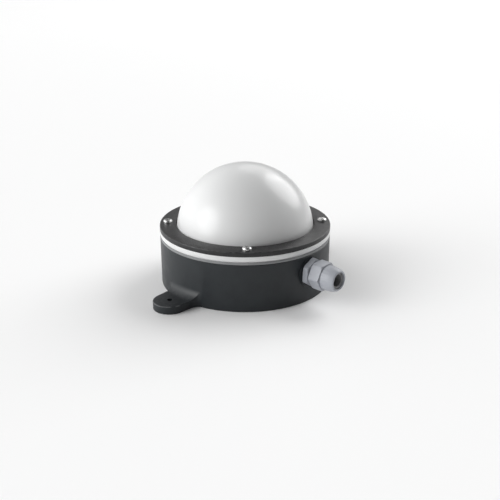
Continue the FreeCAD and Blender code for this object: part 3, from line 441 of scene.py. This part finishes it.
# ------------------------------------------------------------------ bearings
# Two ball bearings in a turned aluminium barrel that hangs through the deck.
# Hard steel races and balls, ground bright; small screws hold the barrel's flange to the deck.
turned_aluminium = finish("turned_aluminium", (milled_light, milled_dark), (0.22, 0.34), relief=0.008 * mm,
                          metallic=1.0, turning=0.25 * mm)
ground_steel = finish("ground_steel", ((0.50, 0.50, 0.51), (0.60, 0.60, 0.60)), (0.12, 0.24),
                      relief=0.002 * mm, metallic=1.0, turning=0.12 * mm)
polished_steel = finish("polished_ball_steel", ((0.60, 0.60, 0.61), (0.68, 0.68, 0.68)), (0.05, 0.12),
                        relief=0.0005 * mm, metallic=1.0)
dress(turned_aluminium, "bearing_housing")
dress(zinc_plate, "housing_screws")
for level in ("lower", "upper"):
    dress(ground_steel, level + "_bearing_outer_race", level + "_bearing_inner_race")
    dress(polished_steel, level + "_bearing_balls")

# ------------------------------------------------------------------ spindle and slip ring
# A hollow steel spindle with a spring clip under the bearings, and a slip ring pressed on its foot.
# The slip ring is black moulding with gold tracks; gilded leaf brushes stand in a block on the board.
contact_gold = finish("gold_plated_contact", ((0.78, 0.56, 0.20), (0.86, 0.66, 0.28)), (0.18, 0.3),
                      relief=0.003 * mm, metallic=1.0, turning=0.2 * mm)
spring_steel = finish("blued_spring_steel", ((0.16, 0.17, 0.20), (0.24, 0.24, 0.27)), (0.25, 0.4),
                      relief=0.004 * mm, metallic=1.0)
dress(ground_steel, "spindle")
dress(spring_steel, "spindle_clip")
dress(black_moulding, "slip_ring", "brush_block")
dress(contact_gold, "slip_ring_tracks", "slip_ring_brushes")

# ------------------------------------------------------------------ gear pair
# A large moulded gear of natural acetal under the turntable, driven by a cut brass pinion.
# The acetal is slightly waxy and cloudy, with a little dust on its top.
acetal = finish("natural_acetal", ((0.70, 0.70, 0.66), (0.78, 0.78, 0.75)), (0.30, 0.42), grain=1300.0,
                relief=0.008 * mm, dust=0.05)
dress(acetal, "driven_gear")
dress(turned_brass, "pinion")

# ------------------------------------------------------------------ drive motor
# A small can motor under the deck: zinc plated case, bronze bushes, copper coils and a ferrite rotor.
# The case is deep drawn and screwed to the deck by its cap.
winding_pitch = 0.35 * mm
# Darker copper painted into the gaps between wire turns as shade.
winding_gap_shade = (0.10, 0.03, 0.015, 1)


def shaded_wire_turns(tree, vector, colour):
    """Painted shade in the gaps between the turns of enamelled wire."""
    height = put(tree, "SeparateXYZ", {"Vector": vector}).outputs["Z"]
    turns = put(tree, "Math", {0: height, 1: 2 * math.pi / winding_pitch}, operation="MULTIPLY").outputs[0]
    ridge = put(tree, "Math", {0: turns}, operation="SINE").outputs[0]
    gap_shade = put(tree, "MapRange", {"Value": ridge, "From Min": -0.6, "From Max": -1.0}).outputs["Result"]
    return mix_colours(tree, gap_shade, colour, winding_gap_shade)


# The coil's dark lines are painted shade between the wire turns.
coil_copper = finish("enamelled_copper", ((0.52, 0.20, 0.09), (0.64, 0.27, 0.13)), (0.22, 0.34),
                     relief=0.01 * mm, metallic=1.0, pattern=shaded_wire_turns)
dress(zinc_plate, "motor_can", "motor_screws")
dress(turned_brass, "motor_bushes")
dress(coil_copper, "motor_stator")
dress(ferrite, "motor_rotor")
dress(ground_steel, "motor_shaft")

# ------------------------------------------------------------------ turntable and antenna
# A turned disc on the spindle, with a bent bracket that holds the flat array and the radio board.
# The array is copper patches on cream laminate over a ground plane; the radio sits under a tinned can.
laminate = finish("cream_laminate", ((0.62, 0.58, 0.46), (0.70, 0.66, 0.54)), (0.40, 0.52), grain=3000.0,
                  relief=0.006 * mm)
patch_copper = finish("etched_copper", ((0.62, 0.29, 0.16), (0.74, 0.38, 0.23)), (0.26, 0.42), grain=2000.0,
                      relief=0.004 * mm, metallic=1.0)
tinned_can = finish("tinned_can", ((0.60, 0.60, 0.58), (0.70, 0.70, 0.68)), (0.24, 0.36), grain=1200.0,
                    relief=0.006 * mm, metallic=1.0)
nickel = finish("nickel_plate", ((0.58, 0.55, 0.50), (0.66, 0.63, 0.58)), (0.10, 0.2), relief=0.002 * mm,
                metallic=1.0)
dress(turned_aluminium, "turntable")
dress(zinc_plate, "turntable_screws", "bracket_screws", "panel_screws")
dress(laminate, "antenna_board")
dress(patch_copper, "antenna_patches")
dress(tinned_can, "transceiver_shield")
dress(nickel, "index_magnet")

# ------------------------------------------------------------------ base gasket
# A flat grey silicone ring between the rim of the casting and the dome's flange.
# Die cut, and squeezed by the clamp ring so that its edge stands out a little.
gasket_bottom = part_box("base_gasket")[0].z
gasket_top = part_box("base_gasket")[1].z
gasket_inner = body_radius - 13.0 * mm
gasket_bulge = 0.12 * mm
gasket_edge = 0.25 * mm
screw_circle = body_radius - 7.0 * mm
screw_hole = 2.3 * mm
screw_headings = (45, 135, 225, 315)
round_steps = 192
pole_weld = 0.0001 * mm
past = 1 * mm


def turn_outline(outline, steps=round_steps):
    """A solid turned about Z from an outline of (radius, height) points, closed unless it meets the axis."""
    bm = bmesh.new()
    points = [bm.verts.new((radius, 0, height)) for radius, height in outline]
    sides = [bm.edges.new(pair) for pair in zip(points, points[1:] + points[:1])
             if pair[0].co.x + pair[1].co.x > 0]
    bmesh.ops.spin(bm, geom=points + sides, cent=(0, 0, 0), axis=(0, 0, 1), angle=2 * math.pi,
                   steps=steps, use_merge=True)
    bmesh.ops.remove_doubles(bm, verts=bm.verts, dist=pole_weld)
    bmesh.ops.recalc_face_normals(bm, faces=bm.faces)
    return bm


def combine(first, second, operation):
    """Joins, cuts or crosses two solids with an exact boolean; both are used up."""
    halves = []
    for bm in (first, second):
        mesh = bpy.data.meshes.new("half")
        bm.to_mesh(mesh)
        bm.free()
        halves.append(bpy.data.objects.new("half", mesh))
        scene.collection.objects.link(halves[-1])
    whole, tool = halves
    boolean = whole.modifiers.new("combine", "BOOLEAN")
    boolean.operation = operation
    boolean.solver = "EXACT"
    boolean.object = tool
    shown = whole.evaluated_get(bpy.context.evaluated_depsgraph_get())
    result = bmesh.new()
    result.from_mesh(shown.to_mesh())
    shown.to_mesh_clear()
    for half in halves:
        mesh = half.data
        bpy.data.objects.remove(half)
        bpy.data.meshes.remove(mesh)
    return result


def drilled(bm, radius, bottom, top):
    """The solid with the four clamp screw holes drilled through it, from just below to just above."""
    depth = top - bottom + 2 * past
    middle = (top + bottom) / 2
    drills = bmesh.new()
    for heading in screw_headings:
        x = screw_circle * math.cos(math.radians(heading))
        y = screw_circle * math.sin(math.radians(heading))
        bmesh.ops.create_cone(drills, cap_ends=True, segments=32, radius1=radius, radius2=radius,
                              depth=depth, matrix=Matrix.Translation((x, y, middle)))
    return combine(bm, drills, "DIFFERENCE")


gasket_middle = (gasket_bottom + gasket_top) / 2
bm = turn_outline([
    (gasket_inner, gasket_bottom),
    (body_radius - gasket_bulge, gasket_bottom),
    (body_radius, gasket_middle - gasket_edge),
    (body_radius, gasket_middle + gasket_edge),
    (body_radius - gasket_bulge, gasket_top),
    (gasket_inner, gasket_top),
])
soften(bm, gasket_edge)
bm = drilled(bm, screw_hole, gasket_bottom, gasket_top)
silicone = finish("grey_silicone", ((0.20, 0.205, 0.21), (0.25, 0.255, 0.26)), (0.6, 0.72), grain=1900.0,
                  relief=0.02 * mm, dust=0.05)
make_piece(bm, "silicone_gasket", silicone, "base_gasket")

# ------------------------------------------------------------------ dome
# The radome: a half sphere of milky white plastic with a flat flange, which shows as a white strip.
# Moulded in one piece, 3 mm thick, glossy, with the faint ripple of a large moulded surface.
dome_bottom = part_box("dome")[0].z
dome_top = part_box("dome")[1].z
flange_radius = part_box("dome")[1].x
flange_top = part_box("clamp_ring")[0].z
flange_rebate = 0.8 * mm
flange_edge = 0.35 * mm
rim_band = 0.1 * mm
dome_wall = 3.0 * mm
dome_centre = dome_bottom + flange_rebate
dome_radius = dome_top - dome_centre
dome_steps = 64
dome_white = (0.68, 0.685, 0.685)
dome_white_light = (0.71, 0.715, 0.715)


def arc_points(radius, height, size, start, end, steps):
    """Points of an arc about a (radius, height) centre, from one angle in degrees to another."""
    angles = [math.radians(start + (end - start) * k / steps) for k in range(steps + 1)]
    return [(radius + size * math.cos(angle), height + size * math.sin(angle)) for angle in angles]


inner_radius = dome_radius - dome_wall
dome_foot = math.degrees(math.asin((flange_top - dome_centre) / dome_radius))
outside_arc = arc_points(0, dome_centre, dome_radius, dome_foot, 90, dome_steps)
inside_arc = arc_points(0, dome_centre, inner_radius, 90, 0, dome_steps)
bm = turn_outline([
    (inner_radius, dome_bottom),
    (flange_radius - flange_rebate, dome_bottom),
    (flange_radius - flange_rebate, dome_centre),
    (flange_radius, dome_centre),
    (flange_radius, flange_top),
] + [(max(radius, 0.0), height) for radius, height in outside_arc + inside_arc])
soften(bm, flange_edge, lambda edge: all(math.hypot(vertex.co.x, vertex.co.y) > flange_radius - rim_band
                                         for vertex in edge.verts))
bm = drilled(bm, screw_hole, dome_bottom, flange_top)
milky_plastic = finish("milky_white_plastic", (dome_white, dome_white_light), (0.30, 0.36), grain=260.0,
                       relief=0.01 * mm, coat=0.35, coat_roughness=0.2, dust=0.02)
make_piece(bm, "radome", milky_plastic, "dome")

# ------------------------------------------------------------------ clamp ring
# The flat ring that presses the flange down on the gasket, turned from aluminium plate.
# Black anodised over fine lathe marks, satin, with its two top edges rounded.
ring_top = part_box("clamp_ring")[1].z
ring_gap = 0.5 * mm
ring_inner = dome_radius + ring_gap
ring_edge = 0.55 * mm
ring_foot_edge = 0.15 * mm
bm = turn_outline([
    (ring_inner, flange_top),
    (body_radius, flange_top),
    (body_radius, ring_top),
    (ring_inner, ring_top),
])
soften(bm, ring_edge, lambda edge: min(vertex.co.z for vertex in edge.verts) > ring_top - rim_band)
soften(bm, ring_foot_edge, lambda edge: max(vertex.co.z for vertex in edge.verts) < flange_top + rim_band)
bm = drilled(bm, screw_hole, flange_top, ring_top)
black_anodise = finish("black_anodised_aluminium", ((0.012, 0.012, 0.013), (0.020, 0.020, 0.021)),
                       (0.34, 0.46), grain=2600.0, relief=0.02 * mm, worn_and_lit=(0.17, 0.17, 0.175), wear_and_highlight=0.35,
                       dust=0.05, turning=0.45 * mm, specular=0.4)
make_piece(bm, "anodised_ring", black_anodise, "clamp_ring")

# ------------------------------------------------------------------ clamp screws
# Four M4 pan-head screws, stainless, with a cross recess; each stopped where its thread ran tight.
# Cold formed heads, rolled threads down through ring, flange and gasket into the casting's bosses.
screw_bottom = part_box("clamp_screws")[0].z
screw_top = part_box("clamp_screws")[1].z
head_radius = 4.0 * mm
head_side = 0.9 * mm
shank_radius = 1.98 * mm
thread_depth = 0.35 * mm
thread_pitch = 0.7 * mm
crest_start = 0.40
crest_end = 0.60
recess_length = 4.5 * mm
recess_width = 0.95 * mm
recess_depth = 1.7 * mm
recess_root = 1.6 * recess_width
recess_above = 0.2 * mm
head_burr = 0.08 * mm
head_band = 0.3 * mm
shank_hold = 0.2 * mm
screw_turns = (14, 62, 31, -22)


def threaded_rod(radius, depth, pitch, bottom, top, steps=32):
    """A rod about Z with a real helical thread, cut flat at both ends."""
    bm = bmesh.new()
    outline = []
    for k in range(-1, int((top - bottom) / pitch) + 3):
        start = bottom + (k - 1) * pitch
        outline += [(radius - depth, start),
                    (radius, start + crest_start * pitch),
                    (radius, start + crest_end * pitch)]
    points = [bm.verts.new((reach, 0, height)) for reach, height in outline]
    sides = [bm.edges.new(pair) for pair in zip(points, points[1:])]
    bmesh.ops.spin(bm, geom=points + sides, cent=(0, 0, 0), axis=(0, 0, 1), angle=2 * math.pi,
                   dvec=(0, 0, pitch / steps), steps=steps)
    bmesh.ops.remove_doubles(bm, verts=bm.verts, dist=weld)
    for height, normal in ((bottom, (0, 0, -1)), (top, (0, 0, 1))):
        bmesh.ops.bisect_plane(bm, geom=bm.verts[:] + bm.edges[:] + bm.faces[:], dist=pole_weld,
                               plane_co=(0, 0, height), plane_no=normal, clear_outer=True)
    bmesh.ops.holes_fill(bm, edges=bm.edges, sides=0)
    bmesh.ops.recalc_face_normals(bm, faces=bm.faces)
    return bm


def pan_head():
    """A pan head with its underside at the ring, and the cross recess cut in."""
    rise = screw_top - ring_top - head_side
    crown = arc_points(head_radius - rise, ring_top + head_side, rise, 0, 90, 8)
    head = turn_outline([(0, ring_top), (head_radius, ring_top)] + crown + [(0, screw_top)], steps=48)
    for angle in (0, 90):
        wing = bmesh.new()
        for vertex in bmesh.ops.create_cube(wing, size=1.0)["verts"]:
            above = vertex.co.z > 0
            vertex.co.x *= recess_length if above else recess_root
            vertex.co.y *= recess_width
            vertex.co.z = screw_top + (recess_above if above else -recess_depth)
        across = Matrix.Rotation(math.radians(angle), 3, "Z")
        bmesh.ops.rotate(wing, verts=wing.verts, cent=(0, 0, 0), matrix=across)
        head = combine(head, wing, "DIFFERENCE")
    return head


screws = bmesh.new()
for heading, screw_turn in zip(screw_headings, screw_turns):
    shank = threaded_rod(shank_radius, thread_depth, thread_pitch, screw_bottom, ring_top + shank_hold)
    screw = combine(pan_head(), shank, "UNION")
    soften(screw, head_burr, lambda edge: min(vertex.co.z for vertex in edge.verts) > screw_top - head_band)
    place = direction(math.radians(heading + 90), 0) * screw_circle
    stand = Matrix.Translation(place) @ Matrix.Rotation(math.radians(screw_turn), 4, "Z")
    bmesh.ops.transform(screw, matrix=stand, verts=screw.verts)
    scrap = bpy.data.meshes.new("scrap")
    screw.to_mesh(scrap)
    screw.free()
    screws.from_mesh(scrap)
    bpy.data.meshes.remove(scrap)
stainless = finish("stainless_steel", ((0.62, 0.62, 0.62), (0.72, 0.72, 0.71)), (0.14, 0.24), grain=1600.0,
                   relief=0.004 * mm, metallic=1.0, worn_and_lit=(0.82, 0.82, 0.82), wear_and_highlight=0.5)
make_piece(screws, "pan_head_screws", stainless, "clamp_screws")

# ------------------------------------------------------------------ gland washer
# A flat black rubber ring under the gland's hexagon, which seals it to the casting.
# Cut from sheet, with its edges rounded where it is squeezed.
gland_height = (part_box("gland_nut")[0].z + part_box("gland_nut")[1].z) / 2
washer_start = -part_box("gland_washer")[1].y
washer_end = -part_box("gland_washer")[0].y
washer_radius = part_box("gland_washer")[1].x
washer_bore = 8.1 * mm
washer_edge = 0.2 * mm
gland_centre = (0, -gland_height, 0)


def lay_on_gland(bm):
    """Lays a solid turned about Z along the gland, which points down -Y; heights become distances."""
    lie = Matrix.Translation((0, 0, gland_height)) @ Matrix.Rotation(math.pi / 2, 4, "X")
    bmesh.ops.transform(bm, matrix=lie, verts=bm.verts)
    bmesh.ops.recalc_face_normals(bm, faces=bm.faces)
    return bm


bm = turn_outline([
    (washer_bore, washer_start),
    (washer_radius, washer_start),
    (washer_radius, washer_end),
    (washer_bore, washer_end),
], steps=96)
soften(bm, washer_edge)
black_rubber = finish("black_rubber", ((0.022, 0.022, 0.024), (0.034, 0.034, 0.036)), (0.55, 0.68),
                      grain=2400.0, relief=0.02 * mm, dust=0.04, centre=gland_centre)
make_piece(lay_on_gland(bm), "gland_sealing_ring", black_rubber, "gland_washer")

# ------------------------------------------------------------------ gland body
# The fixed half of the cable gland: a hexagon between two threads, and a slotted claw at the end.
# Injection moulded in light blue-grey nylon, with turned-down ends and soft corners.
hex_across = 22.0 * mm
hex_start = washer_end
hex_length = 5.0 * mm
hex_end = hex_start + hex_length
hex_turn = math.radians(26.0)
hex_corner = 0.22 * mm
corner_turned = 0.25 * mm
chamfer_rise = 0.6
body_start = -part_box("gland_body")[1].y
claw_end = -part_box("gland_body")[0].y
claw_length = 5.0 * mm
claw_start = claw_end - claw_length
claw_taper = 0.5 * mm
claw_root = 0.5 * mm
claw_well = 6 * mm
gland_bore = 5.6 * mm
claw_inner = 7.0 * mm
claw_outer = 8.2 * mm
claw_slot = (0.8 * mm, 40 * mm, 6 * mm, 1)
claw_slot_middle = claw_end - 1.5 * mm
gland_thread_pitch = 1.5 * mm
wall_thread_radius = 8.0 * mm
wall_thread_depth = 0.6 * mm
nut_thread_radius = 8.9 * mm
nut_thread_depth = 0.7 * mm
bore_steps = 64
nylon_grey = (0.335, 0.350, 0.385)
nylon_grey_light = (0.375, 0.390, 0.425)


def hexagon_bar(start, end, turn, first_chamfer, second_chamfer):
    """A hexagon about Z whose corners are turned down at both ends."""
    corner = hex_across / math.sqrt(3)
    bar = bmesh.new()
    stand = Matrix.Translation((0, 0, (start + end) / 2)) @ Matrix.Rotation(turn - math.radians(30), 4, "Z")
    bmesh.ops.create_cone(bar, cap_ends=True, segments=6, radius1=corner, radius2=corner,
                          depth=end - start, matrix=stand)
    soften(bar, hex_corner, lambda edge: abs(edge.verts[0].co.z - edge.verts[1].co.z) > (end - start) / 2)
    reach = corner - corner_turned
    envelope = turn_outline([
        (0, start),
        (reach - first_chamfer, start),
        (reach, start + chamfer_rise * first_chamfer),
        (reach, end - chamfer_rise * second_chamfer),
        (reach - second_chamfer, end),
        (0, end),
    ], steps=96)
    return combine(bar, envelope, "INTERSECT")


def hollowed(bm, radius, start, end):
    """The solid with a round bore about Z."""
    bore = turn_outline([(0, start), (radius, start), (radius, end), (0, end)], steps=bore_steps)
    return combine(bm, bore, "DIFFERENCE")


bm = hexagon_bar(hex_start, hex_end, hex_turn, 0.5 * mm, 1.2 * mm)
for radius, depth, start, end in (
    (wall_thread_radius, wall_thread_depth, body_start, hex_start + past),
    (nut_thread_radius, nut_thread_depth, hex_end - past, claw_start),
):
    bm = combine(bm, threaded_rod(radius, depth, gland_thread_pitch, start, end, steps=48), "UNION")
bm = hollowed(bm, gland_bore, body_start - past, claw_start + past)
bm = hollowed(bm, claw_inner, claw_start - claw_well, claw_start + past)
claw = turn_outline([
    (claw_inner, claw_start - claw_root),
    (claw_outer, claw_start - claw_root),
    (claw_outer - claw_taper, claw_end),
    (claw_inner, claw_end),
], steps=bore_steps)
for angle in (0, 45, 90, 135):
    slot = bmesh.new()
    place = Matrix.Rotation(math.radians(angle), 4, "Z") @ Matrix.Translation((0, 0, claw_slot_middle))
    bmesh.ops.create_cube(slot, size=1.0, matrix=place @ Matrix.Diagonal(claw_slot))
    claw = combine(claw, slot, "DIFFERENCE")
bm = combine(bm, claw, "UNION")
nylon = finish("blue_grey_nylon", (nylon_grey, nylon_grey_light), (0.36, 0.46), grain=1400.0,
               relief=0.02 * mm, worn_and_lit=(0.46, 0.475, 0.51), wear_and_highlight=0.4, dust=0.06, centre=gland_centre)
make_piece(lay_on_gland(bm), "gland_moulding", nylon, "gland_body")

# ------------------------------------------------------------------ gland locknut
# The plain hexagon nut on the gland's thread inside the casting, in the same nylon.
# Its flats carry the same soft corners as the rest of the gland.
locknut_start = -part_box("gland_locknut")[1].y
locknut_end = -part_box("gland_locknut")[0].y
locknut_bore = 8.05 * mm
bm = hexagon_bar(locknut_start, locknut_end, hex_turn, 1.4 * mm, 0.5 * mm)
bm = hollowed(bm, locknut_bore, locknut_start - past, locknut_end + past)
make_piece(lay_on_gland(bm), "gland_backing_nut", nylon, "gland_locknut")

# ------------------------------------------------------------------ gland nut
# The compression nut: a hexagon, a shallow groove, then a rounded and lightly ribbed end with the mouth.
# It screws up on the claw, which then closes the rubber sleeve on the cable.
nut_start = -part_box("gland_nut")[1].y
nut_end = -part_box("gland_nut")[0].y
nut_hex_end = nut_start + 10.0 * mm
nut_groove_end = nut_hex_end + 0.5 * mm
nut_barrel_start = nut_hex_end + 0.9 * mm
nut_barrel_end = nut_hex_end + 4.5 * mm
nut_slope_end = nut_end - 2.6 * mm
nut_turn = math.radians(2.0)
nut_shoulder = 10.5 * mm
nut_groove = 10.1 * mm
nut_mouth = 7.1 * mm
nut_end_radius = 9.7 * mm
nut_face_radius = 7.8 * mm
nut_bore = 8.98 * mm
nut_bore_end = claw_end - 1.5 * mm
nut_seat_end = claw_end + 1.8 * mm
nut_mouth_edge = 0.5 * mm
nut_mouth_lip = 0.4 * mm
claw_room = 0.3 * mm
nut_rib_depth = 0.18 * mm
nut_ribs = 24
crown_size = 1.0 * mm
crown = arc_points(nut_face_radius, nut_end - crown_size, crown_size, 15, 90, 6)
bm = turn_outline([
    (0, nut_hex_end - past),
    (nut_groove, nut_hex_end - past),
    (nut_groove, nut_groove_end),
    (nut_shoulder, nut_barrel_start),
    (nut_shoulder, nut_barrel_end),
    (nut_end_radius, nut_slope_end),
] + crown + [(0, nut_end)], steps=nut_ribs * 8)
for vertex in bm.verts:
    distance = math.hypot(vertex.co.x, vertex.co.y)
    on_barrel = abs(distance - nut_shoulder) < 0.05 * mm
    if on_barrel:
        wave = math.cos(nut_ribs * math.atan2(vertex.co.y, vertex.co.x))
        inward = 1 - nut_rib_depth * max(0.0, wave) / distance
        vertex.co.x *= inward
        vertex.co.y *= inward
hexagon = hexagon_bar(nut_start, nut_hex_end, nut_turn, 0.7 * mm, 1.0 * mm)
bm = combine(hexagon, bm, "UNION")
bm = combine(bm, turn_outline([
    (0, nut_start - past),
    (nut_bore, nut_start - past),
    (nut_bore, nut_bore_end),
    (claw_outer + claw_room, claw_end + claw_room),
    (nut_mouth, nut_seat_end),
    (nut_mouth, nut_end - nut_mouth_lip),
    (nut_mouth + nut_mouth_edge, nut_end + 0.1 * mm),
    (0, nut_end + 0.1 * mm),
], steps=bore_steps), "DIFFERENCE")
make_piece(lay_on_gland(bm), "gland_compression_nut", nylon, "gland_nut", body="gland_cap")

# ------------------------------------------------------------------ gland sleeve
# The soft rubber sleeve inside the nut; its open end shows in the mouth of the gland.
# Moulded in grey-black rubber, with a bevelled lip and shallow grip rings in its bore.
sleeve_start = -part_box("gland_seal")[1].y
sleeve_end = -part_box("gland_seal")[0].y
sleeve_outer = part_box("gland_seal")[1].x
sleeve_bore = 5.0 * mm
sleeve_lip = 0.8 * mm
grip_pitch = 2.0 * mm
grip_depth = 0.25 * mm
grip_start = 0.35 * grip_pitch
grip_end = 0.65 * grip_pitch
grip = []
for k in range(int((sleeve_end - sleeve_start - 2 * sleeve_lip) / grip_pitch)):
    foot = sleeve_end - sleeve_lip - k * grip_pitch
    grip += [(sleeve_bore + grip_depth, foot - grip_start),
             (sleeve_bore + grip_depth, foot - grip_end),
             (sleeve_bore, foot - grip_pitch)]
bm = turn_outline([
    (sleeve_bore + grip_depth, sleeve_start),
    (sleeve_outer, sleeve_start),
    (sleeve_outer, sleeve_end),
    (sleeve_bore + sleeve_lip, sleeve_end),
    (sleeve_bore, sleeve_end - sleeve_lip),
] + grip, steps=bore_steps)
sleeve_rubber = finish("grey_black_rubber", ((0.17, 0.17, 0.175), (0.23, 0.23, 0.235)), (0.5, 0.62),
                       grain=2400.0, relief=0.02 * mm, centre=gland_centre)
make_piece(lay_on_gland(bm), "gland_rubber_sleeve", sleeve_rubber, "gland_seal", body="gland_sleeve")
